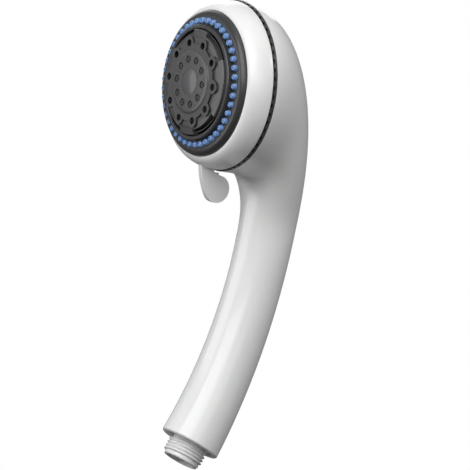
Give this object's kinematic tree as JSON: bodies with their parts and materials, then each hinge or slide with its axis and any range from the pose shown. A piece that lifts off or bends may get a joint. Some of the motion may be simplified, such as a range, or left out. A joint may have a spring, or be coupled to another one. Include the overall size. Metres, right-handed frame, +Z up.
{
  "type": "handheld shower head",
  "caption": "Handheld shower head: curved hollow handle with a threaded inlet and a round spray face that turns by a finger lever to change the spray.",
  "frame": {"origin": "centre of the threaded inlet's end face, where the hose washer seals", "axes": "+Z up the inlet axis into the handle; the spray face looks toward -Y and 25.1 degrees below the horizontal; X = 0 is the plane of symmetry"},
  "size_m": [0.088, 0.1325, 0.2168],
  "materials": {
    "handle_shell": "glossy white moulded plastic",
    "inlet_spigot": "glossy white moulded plastic",
    "inlet_filter": "stainless screen",
    "filter_gasket": "black rubber",
    "flow_restrictor": "natural acetal",
    "water_tube": "natural polypropylene",
    "tube_o_rings": "black rubber",
    "valve_body": "grey moulded plastic",
    "valve_screws": "stainless steel",
    "port_seal": "black rubber",
    "port_seal_spring": "stainless spring wire",
    "detent_plunger": "natural acetal",
    "detent_spring": "stainless spring wire",
    "pivot_washer": "stainless steel",
    "pivot_screw": "stainless steel",
    "seam_ring": "satin black plastic",
    "distributor": "grey moulded plastic",
    "face_screws": "stainless steel",
    "face_gasket": "black rubber",
    "face_plate": "semi-gloss charcoal plastic",
    "nozzle_membrane": "satin blue silicone",
    "nozzle_backing_ring": "natural acetal",
    "swirl_plate": "natural acetal",
    "spray_insert": "semi-gloss charcoal plastic",
    "post_o_ring": "black rubber",
    "mist_disc": "semi-gloss charcoal plastic",
    "centre_cap": "semi-gloss charcoal plastic",
    "turbine_rotor": "natural acetal",
    "selector_ring": "glossy white moulded plastic"
  },
  "bodies": {
    "handle": {"handle_shell": "handle_shell", "inlet_spigot": "inlet_spigot", "inlet_filter": "inlet_filter", "filter_gasket": "filter_gasket", "flow_restrictor": "flow_restrictor", "water_tube": "water_tube", "tube_o_rings": "tube_o_rings", "valve_body": "valve_body", "valve_screws": "valve_screws", "port_seal": "port_seal", "port_seal_spring": "port_seal_spring", "detent_spring": "detent_spring", "pivot_washer": "pivot_washer", "pivot_screw": "pivot_screw", "seam_ring": "seam_ring"},
    "selector": {"selector_ring": "selector_ring", "face_plate": "face_plate", "nozzle_membrane": "nozzle_membrane", "nozzle_backing_ring": "nozzle_backing_ring", "face_gasket": "face_gasket", "distributor": "distributor", "face_screws": "face_screws", "spray_insert": "spray_insert", "mist_disc": "mist_disc", "centre_cap": "centre_cap", "post_o_ring": "post_o_ring", "swirl_plate": "swirl_plate"},
    "turbine": {"turbine_rotor": "turbine_rotor"},
    "detent": {"detent_plunger": "detent_plunger"}
  },
  "joints": [
    {"name": "selector_turn", "type": "hinge", "parent": "handle", "child": "selector", "pos_m": [0, -0.08629, 0.17445], "axis": [0, -0.9056, -0.4242], "range_deg": [-60, 60]},
    {"name": "turbine_spin", "type": "hinge", "parent": "selector", "child": "turbine", "pos_m": [0, -0.08629, 0.17445], "axis": [0, -0.9056, -0.4242], "continuous": true},
    {"name": "detent_slide", "type": "slide", "parent": "handle", "child": "detent", "axis": [0, -0.9056, -0.4242], "range_m": [0, 0.0007], "stiffness_N_per_m": 300, "springref_m": 0.0035, "deforming": ["detent_spring"]}
  ]
}
